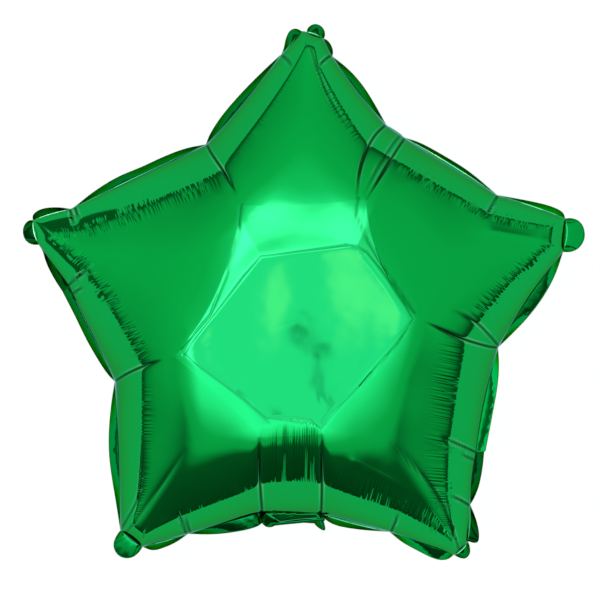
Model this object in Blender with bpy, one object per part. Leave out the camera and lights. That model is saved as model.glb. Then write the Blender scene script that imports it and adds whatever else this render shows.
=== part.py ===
"""Star foil balloon, inflated, lying on its back.

Metres, +Z up. The star's middle is over the origin, the top arm points to +Y,
and the flat spot under the middle of the back film lies on the plane z = 0.
The whole bag is one closed body: front film, back film, sealed border, tabs
at the tips and the flat filling neck, which is folded down behind the back.
"""

import math

import bpy
from mathutils import Vector

# The star's seam, where the two films meet
TIP_RADIUS = 0.199
TIP_ROUND = 0.009
TIP_ANGLES = (88.8, 162.1, 232.7, 305.5, 376.9)
NECK_WIDTH = 0.043
TUCK_WIDTH = 0.017
# Each valley between two arms: its angle, its radius, what its floor is, and the
# radius of the middle facet's corner behind it
VALLEYS = (
    (118.2, 0.1416, "sharp", 0.0520),
    (198.2, 0.1395, "sharp", 0.0800),
    (267.2, 0.1443, "neck", 0.0730),
    (352.5, 0.1410, "sharp", 0.0740),
    (422.6, 0.1497, "tuck", 0.0620),
)

# The inflated form: tubes rise from the seam to plates that dip towards the tips
HALF_DEPTH = 0.070
TUBE_DEPTH = 0.060
TUBE_CURVE = 1.5
TUBE_POWER = 0.40
TUBE_SOFTNESS = 0.0035
SEAM_FADE = 0.008
CREASE_LENGTH = 0.052
SHOULDER_SLOPE = 0.14
ARM_SLOPE = 0.27
ARM_BEND = 0.026
FACET_CROWN = 0.0012
REST_RADIUS = 0.034

# Gathers that the seam pulls into both films
GATHER_PITCH = 0.009
GATHER_HEIGHT = 0.0011
BAND_WIDTH = 0.028

# The sealed border outside the seam
BORDER_WIDTH = 0.0095
BORDER_SHORT = 0.0050
BORDER_LEAST = 0.0015
BORDER_THICKNESS = 0.0012
BORDER_DROOP = 0.0030
PINCH_DISTANCE = 0.034
TAB_DEPTH = 0.0105

# The filling neck, behind the lowest valley
NECK_LENGTH = 0.050
NECK_GAP = 0.0030

# How the surface is divided
SPOKE_GROUP = 4
BAND_SHARES = (0.0, 0.04, 0.18, 0.50, 1.0)
BAND_WAVES = (0.0, 0.1, 0.6, 1.0, 0.0)
ARM_RINGS = 6
SHOULDER_RINGS = 2

FILM_COLOUR = (0.004, 0.440, 0.110, 1.0)


def removeObjects():
    for item in list(bpy.data.objects):
        bpy.data.objects.remove(item, do_unlink=True)


def polar(radius, degrees):
    angle = math.radians(degrees)
    return Vector((radius * math.cos(angle), radius * math.sin(angle)))


def valleyPoints(valley):
    """The one or two corners of a valley's floor, in order round the star."""
    degrees, radius, floor, _ = valley
    middle = polar(radius, degrees)
    if floor == "sharp":
        return [middle]
    width = NECK_WIDTH if floor == "neck" else TUCK_WIDTH
    along = polar(width / 2, degrees + 90)
    return [middle - along, middle + along]


def tipCorner(before, after, degrees):
    """The sharp corner whose rounded tip reaches TIP_RADIUS, and its half angle."""
    reach = TIP_RADIUS
    for _ in range(6):
        corner = polar(reach, degrees)
        half = (before - corner).angle(after - corner) / 2
        reach = TIP_RADIUS + TIP_ROUND * (1 / math.sin(half) - 1)
    return polar(reach, degrees), half


def tipLine(degrees):
    """Two points of the line across a tip, in order round the star."""
    middle = polar(TIP_RADIUS, degrees)
    along = polar(TIP_ROUND, degrees + 90)
    return middle - along, middle + along


def steps(length):
    """Number of spokes on a stretch of seam: whole gathers, in whole groups."""
    return SPOKE_GROUP * max(1, round(2 * length / GATHER_PITCH / SPOKE_GROUP))


def hump(share):
    return math.sin(math.pi * share)


def borderWidth(distance, length):
    """Width of the sealed border on a straight seam, from the tip to the valley."""
    pinch = min(PINCH_DISTANCE, length / 2)
    if distance < pinch:
        return BORDER_LEAST + (BORDER_SHORT - BORDER_LEAST) * hump(distance / pinch)
    share = (distance - pinch) / (length - pinch)
    return BORDER_LEAST + (BORDER_WIDTH - BORDER_LEAST) * hump(share)


def straightSeam(tipEnd, valleyEnd):
    """Seam points with their border widths, from the tip's arc to the valley."""
    length = (valleyEnd - tipEnd).length
    count = steps(length)
    points = []
    for i in range(count + 1):
        share = i / count
        points.append((tipEnd.lerp(valleyEnd, share), borderWidth(share * length, length)))
    return points


def tipArc(corner, half, before, after):
    """Points round a tip, from the side of the valley before to the one after."""
    toBefore = (before - corner).normalized()
    toAfter = (after - corner).normalized()
    centre = corner + (toBefore + toAfter).normalized() * TIP_ROUND / math.sin(half)
    reach = TIP_ROUND / math.tan(half)
    start = corner + toBefore * reach - centre
    turn = math.pi - 2 * half
    first = math.atan2(start.y, start.x)
    points = []
    for i in range(SPOKE_GROUP + 1):
        share = i / SPOKE_GROUP
        angle = first + share * turn
        point = centre + Vector((math.cos(angle), math.sin(angle))) * TIP_ROUND
        points.append((point, BORDER_LEAST + (TAB_DEPTH - BORDER_LEAST) * math.sqrt(hump(share))))
    return points


def seamLine():
    """The seam from the first tip round the star: points, border widths, the lines that
    bound each point's arm, the corners of the facet and of the roots, the neck's stretch."""
    points = []
    widths = []
    bounds = []
    facet = []
    roots = []
    neck = None

    def add(stretch, lines):
        for point, width in stretch[:-1]:
            points.append(point)
            widths.append(width)
            bounds.append(lines)

    for k, degrees in enumerate(TIP_ANGLES):
        before = valleyPoints(VALLEYS[k - 1])[-1]
        floor = valleyPoints(VALLEYS[k])
        corner, half = tipCorner(before, floor[0], degrees)
        arc = tipArc(corner, half, before, floor[0])
        arm = [(before, corner), tipLine(degrees), (corner, floor[0])]
        add(straightSeam(arc[0][0], before)[::-1], arm)
        add(arc, arm)
        add(straightSeam(arc[-1][0], floor[0]), arm)
        for end in floor:
            facet.append(end.normalized() * VALLEYS[k][3])
            roots.append(end.normalized() * (end.length - CREASE_LENGTH))
        if len(floor) == 2:
            count = steps((floor[1] - floor[0]).length)
            if VALLEYS[k][2] == "neck":
                neck = (len(points), count)
            stretch = [(floor[0].lerp(floor[1], i / count), BORDER_LEAST) for i in range(count + 1)]
            add(stretch, [(floor[0], floor[1])])
    return points, widths, bounds, facet, roots, neck


def beyondLine(point, start, end):
    """Signed distance of a point to the left of a line."""
    along = (end - start).normalized()
    return along.x * (point.y - start.y) - along.y * (point.x - start.x)


def seamDistance(point, lines):
    """Distance inside the lines that bound an arm or a valley's floor, rounded at corners."""
    values = [beyondLine(point, start, end) for start, end in lines]
    least = min(values)
    total = sum(math.exp((least - value) / TUBE_SOFTNESS) for value in values)
    return least - TUBE_SOFTNESS * math.log(total)


def tube(share):
    share = max(0.0, min(1.0, share))
    return (1 - (1 - share) ** TUBE_CURVE) ** TUBE_POWER


def outside(point, polygon):
    """How far a point lies outside a convex polygon, or 0 inside it."""
    return max(0.0, max(-beyondLine(point, polygon[i - 1], polygon[i]) for i in range(len(polygon))))


def facetReach(direction, facet):
    """Distance from the middle to the central facet's edge in one direction."""
    for i, corner in enumerate(facet):
        start = facet[i - 1]
        edge = corner - start
        side = direction.x * edge.y - direction.y * edge.x
        if abs(side) < 1e-12:
            continue
        reach = (start.x * edge.y - start.y * edge.x) / side
        share = (direction * reach - start).dot(edge) / edge.length_squared
        if reach > 0 and -1e-6 <= share <= 1 + 1e-6:
            return reach
    raise ValueError("the facet doesn't close round the middle")


class Body:
    """Collects the vertices and faces of the closed bag."""

    def __init__(self):
        self.vertices = []
        self.faces = []

    def point(self, x, y, z):
        self.vertices.append((x, y, z + HALF_DEPTH))
        return len(self.vertices) - 1

    def face(self, corners, flip):
        self.faces.append(tuple(reversed(corners)) if flip else tuple(corners))

    def band(self, outer, inner, flip):
        """Quads between two closed rings of equal count, seen from above."""
        count = len(outer)
        for i in range(count):
            j = (i + 1) % count
            self.face((outer[i], outer[j], inner[j], inner[i]), flip)

    def gatheredBand(self, outer, inner, flip):
        """Triangles from a fine ring to a ring with one point in each group."""
        count = len(inner)
        middle = SPOKE_GROUP // 2
        for i in range(count):
            start, end = inner[i], inner[(i + 1) % count]
            fine = [outer[(i * SPOKE_GROUP + k) % len(outer)] for k in range(SPOKE_GROUP + 1)]
            for k in range(SPOKE_GROUP):
                self.face((fine[k], fine[k + 1], start if k < middle else end), flip)
            self.face((start, fine[middle], end), flip)


def filmSide(body, side, points, bounds, facet, roots):
    """One film from the seam to the middle; side is 1 for the front, -1 for the back.

    Returns its seam ring, and the heights down the outermost rings for the neck."""
    flip = side < 0

    def height(i, radius):
        """Height above the seam's plane on one spoke, and 0 on the seam itself."""
        point = points[i].normalized() * radius
        beyond = outside(point, roots)
        drop = SHOULDER_SLOPE * outside(point, facet)
        drop += ARM_SLOPE * (beyond - ARM_BEND * (1 - math.exp(-beyond / ARM_BEND)))
        plate = HALF_DEPTH - FACET_CROWN - drop
        lines = bounds[i]
        if bounds[i - 1] is not lines:
            lines = lines + bounds[i - 1]
        error = seamDistance(points[i], lines) * math.exp((radius - points[i].length) / SEAM_FADE)
        return plate * tube((seamDistance(point, lines) - error) / TUBE_DEPTH)

    def spokeRing(radii):
        ring = []
        for i, radius in radii:
            at = points[i].normalized() * radius
            ring.append(body.point(at.x, at.y, side * height(i, radius)))
        return ring

    seam = [body.point(p.x, p.y, side * BORDER_THICKNESS / 2) for p in points]
    last = seam
    profiles = []
    for share, wave in zip(BAND_SHARES[1:], BAND_WAVES[1:]):
        ring = []
        heights = []
        for i, p in enumerate(points):
            radius = p.length - BAND_WIDTH * share
            at = p.normalized() * radius
            z = height(i, radius) + wave * GATHER_HEIGHT * (1 if i % 2 else -1)
            ring.append(body.point(at.x, at.y, side * z))
            heights.append(z)
        body.band(last, ring, flip)
        profiles.append((BAND_WIDTH * share, heights))
        last = ring

    fine = last
    spokes = range(0, len(points), SPOKE_GROUP)
    rootReach = {i: facetReach(points[i].normalized(), roots) for i in spokes}
    reach = {i: facetReach(points[i].normalized(), facet) for i in spokes}
    for k in range(1, ARM_RINGS + 1):
        share = k / ARM_RINGS
        ring = spokeRing([(i, (points[i].length - BAND_WIDTH) * (1 - share) + rootReach[i] * share)
                          for i in spokes])
        if k == 1:
            body.gatheredBand(fine, ring, flip)
        else:
            body.band(last, ring, flip)
        last = ring
    for k in range(1, SHOULDER_RINGS + 1):
        share = k / SHOULDER_RINGS
        ring = spokeRing([(i, rootReach[i] * (1 - share) + reach[i] * share) for i in spokes])
        body.band(last, ring, flip)
        last = ring

    ring = []
    for i in spokes:
        at = points[i].normalized() * REST_RADIUS
        ring.append(body.point(at.x, at.y, side * HALF_DEPTH))
    body.band(last, ring, flip)
    centre = body.point(0.0, 0.0, side * HALF_DEPTH)
    for i in range(len(ring)):
        body.face((ring[i], ring[(i + 1) % len(ring)], centre), flip)
    return seam, profiles


def outwardNormals(points):
    normals = []
    count = len(points)
    for i, p in enumerate(points):
        into = (p - points[i - 1]).normalized()
        out = (points[(i + 1) % count] - p).normalized()
        along = (into + out).normalized()
        normals.append(Vector((along.y, -along.x)))
    return normals


def border(body, points, widths, front, back, neckColumns):
    """The sealed border outside the seam; its rim is left open at the neck."""
    normals = outwardNormals(points)
    upper = []
    lower = []
    for p, width, normal in zip(points, widths, normals):
        at = p + normal * width
        sunk = BORDER_DROOP * (width - BORDER_LEAST) / BORDER_WIDTH
        upper.append(body.point(at.x, at.y, BORDER_THICKNESS / 2 - sunk))
        lower.append(body.point(at.x, at.y, -BORDER_THICKNESS / 2 - sunk))
    body.band(upper, front, False)
    body.band(lower, back, True)
    count = len(points)
    neckEdges = set(neckColumns[:-1])
    for i in range(count):
        if i not in neckEdges:
            j = (i + 1) % count
            body.face((upper[i], lower[i], lower[j], upper[j]), False)
    return upper, lower


def neckPath(profiles, middleSpoke):
    """Places down the neck's middle surface, as (outward, height) from the seam,
    from the border's edge round its fold and down along the back film."""
    clear = NECK_GAP + BORDER_THICKNESS / 2
    film = [(0.0, 0.0)]
    for inward, heights in profiles:
        film.append((-inward, -heights[middleSpoke] - GATHER_HEIGHT))
    path = [(BORDER_LEAST, 0.0), (BORDER_LEAST + clear * 0.7, -clear * 0.3)]
    for i in range(1, len(film)):
        before = film[i - 1]
        after = film[min(i + 1, len(film) - 1)]
        slope = Vector((after[0] - before[0], after[1] - before[1])).normalized()
        path.append((film[i][0] - slope.y * clear, film[i][1] + slope.x * clear))
    kept = [Vector(path[0])]
    left = NECK_LENGTH
    for place in path[1:]:
        step = Vector(place) - kept[-1]
        if step.length >= left:
            kept.append(kept[-1] + step * (left / step.length))
            return kept
        kept.append(Vector(place))
        left -= step.length
    end = (kept[-1] - kept[-2]).normalized()
    kept.append(kept[-1] + end * left)
    return kept


def neck(body, points, columns, upper, lower, profiles):
    """The flat neck: a strip that leaves the border and lies down the back."""
    first = points[columns[0]]
    last = points[columns[-1]]
    middle = (first + last) / 2
    tangent = (last - first).normalized()
    outward = Vector((tangent.y, -tangent.x))
    path = neckPath(profiles, columns[len(columns) // 2])
    outer = [upper[i] for i in columns]
    inner = [lower[i] for i in columns]
    half = BORDER_THICKNESS / 2
    for k in range(1, len(path)):
        ahead = path[min(k + 1, len(path) - 1)]
        slope = (ahead - path[k - 1]).normalized()
        side = Vector((-slope.y, slope.x)) * half
        nextOuter = []
        nextInner = []
        for i in columns:
            aside = (points[i] - middle).dot(tangent)
            for shift, ring in ((side, nextOuter), (-side, nextInner)):
                place = path[k] + shift
                at = middle + outward * place.x + tangent * aside
                ring.append(body.point(at.x, at.y, place.y))
        for i in range(len(columns) - 1):
            body.face((outer[i], nextOuter[i], nextOuter[i + 1], outer[i + 1]), False)
            body.face((inner[i], nextInner[i], nextInner[i + 1], inner[i + 1]), True)
        body.face((outer[0], inner[0], nextInner[0], nextOuter[0]), False)
        body.face((outer[-1], inner[-1], nextInner[-1], nextOuter[-1]), True)
        outer, inner = nextOuter, nextInner
    for i in range(len(columns) - 1):
        body.face((outer[i], inner[i], inner[i + 1], outer[i + 1]), False)


def foilMaterial():
    material = bpy.data.materials.new("green foil film")
    material.use_nodes = True
    shader = material.node_tree.nodes["Principled BSDF"]
    shader.inputs["Base Color"].default_value = FILM_COLOUR
    shader.inputs["Metallic"].default_value = 1.0
    shader.inputs["Roughness"].default_value = 0.12
    return material


def makeBalloon():
    points, widths, bounds, facet, roots, neckStretch = seamLine()
    body = Body()
    front, _ = filmSide(body, 1, points, bounds, facet, roots)
    back, profiles = filmSide(body, -1, points, bounds, facet, roots)
    start, count = neckStretch
    columns = list(range(start + 1, start + count))
    upper, lower = border(body, points, widths, front, back, columns)
    neck(body, points, columns, upper, lower, profiles)

    mesh = bpy.data.meshes.new("balloon")
    mesh.from_pydata(body.vertices, [], body.faces)
    mesh.validate()
    mesh.update()
    mesh.shade_smooth()
    mesh.set_sharp_from_angle(angle=math.radians(50))
    mesh.materials.append(foilMaterial())
    balloon = bpy.data.objects.new("balloon", mesh)
    bpy.context.scene.collection.objects.link(balloon)


removeObjects()
makeBalloon()
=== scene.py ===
# Star foil balloon, lying on its back: the metallised film, its folds and gathers,
# the sealed border with its tip tabs, and the filling neck folded behind.

import math

import bpy
import numpy as np
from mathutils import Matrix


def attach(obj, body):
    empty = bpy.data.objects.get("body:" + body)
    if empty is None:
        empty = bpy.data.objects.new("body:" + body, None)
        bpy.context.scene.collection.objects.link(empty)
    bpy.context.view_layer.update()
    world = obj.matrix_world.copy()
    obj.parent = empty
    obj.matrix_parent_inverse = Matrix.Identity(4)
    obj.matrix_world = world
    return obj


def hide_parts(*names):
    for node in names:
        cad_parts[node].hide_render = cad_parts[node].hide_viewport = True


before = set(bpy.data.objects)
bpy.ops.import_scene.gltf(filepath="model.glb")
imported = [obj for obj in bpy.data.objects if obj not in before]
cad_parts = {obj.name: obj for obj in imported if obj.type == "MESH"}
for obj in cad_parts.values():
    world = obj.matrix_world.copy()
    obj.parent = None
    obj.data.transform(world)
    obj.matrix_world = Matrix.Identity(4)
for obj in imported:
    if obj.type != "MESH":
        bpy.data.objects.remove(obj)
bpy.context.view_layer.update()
print("frame loaded")

# Places on the star are pixels of the square photograph, x right and y down
photo = {"width": 600, "middle": (301.0, 319.0), "pixelSize": 0.7117e-3}
seamHeight = 0.070          # the seam's plane above the floor, half the balloon's depth


def place(x, y):
    return np.array([x - photo["middle"][0], photo["middle"][1] - y]) * photo["pixelSize"]


def places(pairs):
    return np.array([place(*pair[:2]) for pair in pairs])


def pixels(count):
    return count * photo["pixelSize"]


# The seam, from the top tip round by the left. Each row starts a stretch: x, y, how
# far the stretch bulges outwards, and the outer edge of the sealed border beside it
seamRows = [
    (302.0, 31.0, 0.0, [(302, 30), (296, 27), (289.5, 29.5), (285.5, 38), (284, 47), (280, 56)]),
    (281.0, 55.0, -1.0, [(280, 54), (264, 69), (243, 90), (222, 114), (209.5, 133), (205.5, 143.5)]),
    (206.8, 144.2, 1.0, [(205.8, 143.4), (203, 144), (184.6, 147.6), (163, 156), (140, 167), (117, 176),
                         (92.7, 191), (72.8, 207), (69, 208.5)]),
    (70.0, 209.5, 1.4, [(69.5, 208.4), (56, 206.6), (40.6, 208), (31.4, 214), (31.5, 220)]),
    (33.0, 220.4, 2.0, [(32, 219.6), (27, 220), (22.5, 226), (22, 234), (25, 241), (31, 244.5),
                        (37.5, 244.5)]),
    (38.0, 243.0, 0.0, [(37, 243.8), (41.4, 250), (45, 263), (54, 280), (63.6, 294)]),
    (68.5, 285.5, 0.5, [(62, 292), (73.8, 315), (86.4, 341.5), (99, 363), (107, 375), (114, 382)]),
    (115.2, 381.5, 0.0, [(113.8, 382), (110.5, 403.5), (108.1, 430), (108.1, 453), (110.7, 476),
                         (115.3, 503.5), (119.4, 531)]),
    (121.0, 531.0, 1.0, [(119.8, 531), (116, 536), (113, 543), (113.5, 550), (117.5, 556), (124, 559),
                         (131, 558.5), (137.5, 554.5), (142, 548)]),
    (141.5, 547.0, 1.0, [(141.5, 548), (152, 552), (163.5, 548.7), (175.8, 543.3), (187.5, 535)]),
    (187.0, 534.0, 0.0, [(187, 535), (212.5, 535.5), (235.5, 532.6), (255.4, 528), (263.5, 523),
                         (263.5, 513.5)]),
    (262.5, 512.5, 0.0, [(262, 513.5), (258.5, 519), (264, 527), (271, 528.5), (278, 525), (280, 523.5)]),
    (280.0, 522.5, -1.0, [(280, 523.6), (289, 523.2), (304, 523.7), (316.6, 524.5)]),
    (316.6, 519.0, 0.0, [(316, 520), (313.5, 524), (319, 529), (326, 532), (324.5, 524), (322, 515)]),
    (321.0, 514.0, 1.5, [(321, 515), (325.5, 521), (336, 526.5), (351.5, 529.5), (368, 531.5), (390, 533)]),
    (390.3, 531.9, 0.0, [(390, 533), (402, 543), (416, 550.5), (436, 560.6), (448, 561), (454.6, 556)]),
    (454.6, 555.0, 2.0, [(454.6, 556), (457, 557.5), (462, 559.5), (467, 559.3), (471, 554), (470.5, 547),
                         (468.6, 542)]),
    (467.6, 542.0, 1.5, [(468.6, 542), (472, 543.5), (477, 543.7), (479.3, 541), (479.6, 532), (476.6, 519),
                         (471, 505.5)]),
    (470.0, 505.5, -1.0, [(471, 505.8), (475, 499), (480, 486), (483.4, 467), (484.8, 452)]),
    (476.3, 452.0, -2.0, [(486, 452), (488.7, 438), (494, 410), (498.4, 386), (500, 366), (499, 347.5)]),
    (498.0, 347.5, -2.0, [(499, 347.8), (509, 338), (526.7, 320), (543, 299), (556, 276), (564.6, 251)]),
    (563.6, 250.8, 2.0, [(564, 251.8), (572.4, 252), (580, 248), (585, 240), (585.6, 233), (583.5, 225),
                         (578, 219.5), (572, 217.6), (567, 218)]),
    (566.0, 218.8, 1.5, [(566.5, 217.8), (564, 211), (550, 205), (531, 200.6), (512, 197), (498, 194.5)]),
    (497.5, 195.5, 2.0, [(498, 194.5), (481.5, 180), (464, 166.5), (436, 150), (420, 141.5), (405.8, 137)]),
    (405.0, 138.0, 1.0, [(405.7, 137.2), (396, 130.2), (386.8, 124.2)]),
    (386.0, 125.0, -1.0, [(387, 124.5), (376, 105), (365, 87), (351, 70), (332.3, 54.8)]),
    (331.5, 55.6, 0.0, [(332.5, 55.5), (333.5, 50), (331, 43), (327, 38.5), (323.6, 37.2)]),
    (323.0, 38.0, 1.0, [(324, 38), (325.5, 33), (323.5, 27), (318, 23.2), (312, 23.4), (307.5, 27),
                        (306.6, 30.8)]),
    (306.9, 31.7, 0.0, [(306.9, 30.8), (304.5, 30), (302, 30)]),
]

# Each sector lies between two creases. Its sides are straight runs of the seam, as row
# numbers; a side with two runs has a pinch between them. Beside each side the film rises
# as a tube to a knee, so many mm in from the seam, and is gathered there, more or less,
# until so many knee distances in. An arm's root bows so many pixels towards the middle;
# from there the arm dips, from one tilt to another in degrees over so many metres
sectors = [
    {"name": "left arm", "from": 2, "to": 7, "sides": [[(2, 3), (3, 4)], [(4, 5)], [(5, 6), (6, 7)]],
     "knees": (25, 11, 26), "gathers": (1.0, 0.2, 0.9), "gatherEnd": 1.45,
     "bow": 12, "tilts": (11, 16), "over": 0.020},
    {"name": "lower left arm", "from": 7, "to": 11, "sides": [[(7, 8)], [(8, 9)], [(9, 11)]],
     "knees": (22, 10, 21), "gathers": (0.35, 0.1, 0.6), "gatherEnd": 1.5,
     "bow": 2, "tilts": (1, 15), "over": 0.030},
    {"name": "neck", "from": 11, "to": 14, "sides": [[(11, 14)]],
     "knees": (26,), "gathers": (1.5,), "gatherFull": 2.1, "gatherEnd": 2.75,
     "bow": 0, "tilts": (2, 12), "over": 0.020},
    {"name": "lower right arm", "from": 14, "to": 20,
     "sides": [[(14, 15), (15, 16)], [(16, 17)], [(17, 18), (18, 19), (19, 20)]],
     "knees": (23, 10, 26), "gathers": (0.9, 0.1, 0.6), "gatherEnd": 1.9,
     "bow": 2, "tilts": (1, 15), "over": 0.030},
    {"name": "right arm", "from": 20, "to": 24, "sides": [[(20, 21)], [(21, 22)], [(22, 23), (23, 24)]],
     "knees": (28, 11, 18.5), "gathers": (0.7, 0.1, 1.0), "gatherEnd": 1.45,
     "bow": 11, "tilts": (9, 16), "over": 0.020},
    {"name": "tuck", "from": 24, "to": 25, "sides": [[(24, 25)]],
     "knees": (20,), "gathers": (0.2,), "gatherEnd": 1.3,
     "bow": 0, "tilts": (4, 14), "over": 0.030},
    {"name": "top arm", "from": 25, "to": 2, "sides": [[(25, 26), (26, 27)], [(27, 0)], [(0, 2)]],
     "knees": (23, 10, 21), "gathers": (0.5, 0.1, 0.15), "gatherEnd": 1.4,
     "bow": 3, "tilts": (0, 15), "over": 0.030},
]

# The crease from each valley to a corner of the line where the arms begin
creases = {
    2: [(206.8, 144.2), (212, 155), (228, 178), (244, 208)],
    7: [(115.2, 381.5), (130, 372), (147, 364.5), (178, 355)],
    11: [(262.5, 512.5), (261, 480), (260, 455), (261, 433)],
    14: [(321, 514), (321.5, 485), (321, 455), (321, 430)],
    20: [(498, 347.5), (485, 346), (455, 337), (413, 318)],
    24: [(405, 138), (396, 151), (383, 172), (364, 203)],
    25: [(386, 125), (371, 140), (358, 170), (355, 203)],
}
facetCorners = {2: (262, 258), 7: (187, 353), 11: (268, 414), 14: (320, 424), 20: (409, 320),
                24: (357, 250), 25: (350, 248)}
# the facet's edge between those corners, by the crease it starts at
facetBends = {2: [(245, 277), (222, 308)], 7: [(215, 373), (246, 396)], 11: [(298, 413), (310, 415)],
              14: [(330, 411), (360, 380), (395, 342)], 20: [(409, 316), (398, 297), (380, 271), (366, 254)],
              24: [], 25: [(344, 247), (300, 253)]}

film = {
    "rise": seamHeight,       # seam plane to the middle of each film
    "fineStep": 0.00045,      # between spokes beside a pinch or valley
    "spokeStep": 0.0015,
    "fineReach": 0.006,
    "bandRings": [(0.014, 11, 1.7), (0.032, 15, 1.0), (0.062, 12, 1.0)],    # up to, how many, how crowded
    "bandMost": 0.72,         # share of a short spoke that those rings may take
    "armRings": 14,
    "armCrowd": 1.6,
    "shoulderRings": 12,
    "facetRings": 12,
    "wideSector": 100,        # spokes; in a sector with more, the creases' bends die out sooner
    "wideFade": 3,
    "kneeRise": 0.83,         # share of the full height that the tube reaches at its knee
    "tubePower": 0.50,
    "plateReach": 0.042,      # from the knee to where the film levels out
    "plateCurve": 2.0,
    "kneeSoftness": 0.010,
    "tipKnee": 0.65,          # how much nearer the knee lies at a tip, as a share
    "tipLength": 0.041,
    "rounding": 8,            # lower rounds the ridge between two sides more
    "facetShade": 3.125,       # how much darker the painted shade on the facet's fine lines is than a groove so deep's
    "facetCrown": 0.0008,
    "crownReach": 0.060,
    "shortEdge": 0.008,       # no shoulder falls away from a facet edge shorter than this
    "shoulderTilt": 8.0,      # degrees, outside the middle facet
    "blend": 0.010,           # how far from a crease two sectors are made to agree
    "dropBlend": 0.02,        # the same for the arms' dip
    "seamBlend": 0.008,       # how far from the seam the film is pulled down to it
    "undulation": 0.00035,
    "undulationLength": 0.055,
    "undulationFrom": 0.012,  # from the seam to where it has its full height
    "tautFrom": 0.040,        # from the star's middle to where the film stops being flat
    "tautReach": 0.050,
    "tautLeast": 0.03,
    "grooveFrom": 0.004,      # from the seam to where a groove has its full depth
    "seamHighlight": 1.6,         # a painted highlight beside the seam
    "seamHighlightWidth": 0.0005,
}

# How a groove shows: a painted shade line in it, fading to its inner end, and a painted highlight beside it
grooveLook = {"fullDepth": 1.5, "fade": 0.35, "darkWidth": 0.0010, "highlightPlace": 0.0015, "highlightWidth": 0.0005}

# Grooves pressed into both films: points, depth and half width in mm. Each fades towards
# its last point, and a depth below 0 is a ridge
filmGrooves = [
    (creases[2][:3] + [(238, 197)], 2.0, 1.2), (creases[7][:3] + [(166, 358)], 1.8, 1.2),
    (creases[11], 1.6, 1.2), (creases[14], 1.6, 1.2),
    (creases[20][:3] + [(420, 321)], 1.8, 1.2), (creases[24], 1.8, 1.2), (creases[25], 1.5, 1.2),
    ([(401, 134), (391, 147), (376, 170), (361, 199)], 1.0, 0.9),
    ([(498, 346), (477, 325), (465, 316), (448, 309)], 1.4, 1.2),
    ([(70, 209.5), (73, 217), (75.5, 226)], 2.4, 1.2), ([(75, 207), (80, 219)], 1.4, 1.0),
    ([(68.5, 285.5), (80, 277), (92, 269)], 2.4, 1.2), ([(73, 294), (86, 286)], 1.4, 1.0),
    ([(187, 534), (184, 520), (180, 506)], 2.4, 1.2), ([(191, 533), (187, 512)], 1.4, 1.0),
    ([(390.3, 532), (394, 520), (397, 508)], 2.4, 1.2),
    ([(470, 505.5), (459, 498), (446, 492)], 2.4, 1.2),
    ([(476, 452), (458, 443), (438, 434)], 2.4, 1.2), ([(475, 460), (458, 452)], 1.4, 1.0),
    ([(497.5, 195.5), (490, 206), (482, 220)], 2.4, 1.2),
    ([(281, 55), (288, 62), (293, 70)], 1.8, 1.2), ([(331.5, 55.6), (324, 62), (318, 70)], 1.8, 1.2),
    ([(120, 531), (136, 505), (143, 488), (147, 430)], 0.9, 2.2),
    ([(126, 533), (150, 500), (164, 482), (187, 447)], 0.7, 2.2),
    ([(458, 548), (442, 500), (420, 470), (388, 444)], 0.9, 2.4),
    ([(311, 52), (318, 74), (329, 102), (348, 132)], 0.7, 1.5),
    ([(488, 232), (525, 238), (566, 246)], -1.8, 8.0),
    ([(352, 458), (382, 472), (420, 494)], -0.5, 3.0),
]

# Fine grooves round the middle facet and at the roots of the side arms, each with a painted shade line along
# it
facetEdges = [
    ([(243, 207), (240, 232), (229, 274), (213, 315), (184.5, 347)], 0.22, 0.7),
    ([(357, 200), (354, 215), (361, 232), (376, 261), (395, 289), (411, 312)], 0.20, 0.7),
    ([(187, 353), (222, 308), (245, 277), (262, 258), (300, 253), (344, 247), (350, 248), (357, 250),
      (366, 254), (380, 271), (398, 297), (409, 316)], 0.16, 0.8),
    ([(409, 320), (395, 342), (360, 380), (330, 411), (320, 424)], 0.14, 0.8),
    ([(320, 424), (310, 415), (298, 413), (268, 414), (246, 396), (215, 373), (187, 353)], 0.16, 0.8),
    ([(380, 268), (392, 283), (412, 312)], 0.10, 1.0),
    ([(240, 388), (252, 401), (270, 418)], 0.14, 2.0),
]


# The grid of one film: sector by sector, crease lines on its spokes

def spokeShares(length):
    # closer together at both ends of a stretch
    half = [0.0]
    while half[-1] < length / 2:
        coarse = min(1, half[-1] / film["fineReach"])
        half.append(half[-1] + film["fineStep"] + (film["spokeStep"] - film["fineStep"]) * coarse)
    half = np.array(half) / half[-1] / 2
    return np.concatenate([half, 1 - half[-2:0:-1]])


def seamPoints(first, last):
    rows = places(seamRows)
    points = []
    k = first
    while k != last:
        start = rows[k]
        after = (k + 1) % len(rows)
        end = rows[after]
        length = np.linalg.norm(end - start)
        along = (end - start) / length
        outward = np.array([along[1], -along[0]])
        s = spokeShares(length)[:, None]
        points.append(start + (end - start) * s + outward * pixels(seamRows[k][2]) * 4 * s * (1 - s))
        k = after
    points.append(rows[last][None])
    return np.vstack(points)


def cutCorners(line, rounds=2):
    # rounds a polyline's bends and keeps its ends
    for _ in range(rounds):
        near, far = line[:-1] * 0.75 + line[1:] * 0.25, line[:-1] * 0.25 + line[1:] * 0.75
        inner = np.stack([near, far], 1).reshape(-1, 2)
        line = np.vstack([line[:1], inner, line[-1:]])
    return line


def alongLine(line, share):
    steps = np.concatenate([[0], np.cumsum(np.linalg.norm(np.diff(line, axis=0), axis=1))])
    at = share * steps[-1]
    return np.stack([np.interp(at, steps, line[:, 0]), np.interp(at, steps, line[:, 1])], -1)


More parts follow.
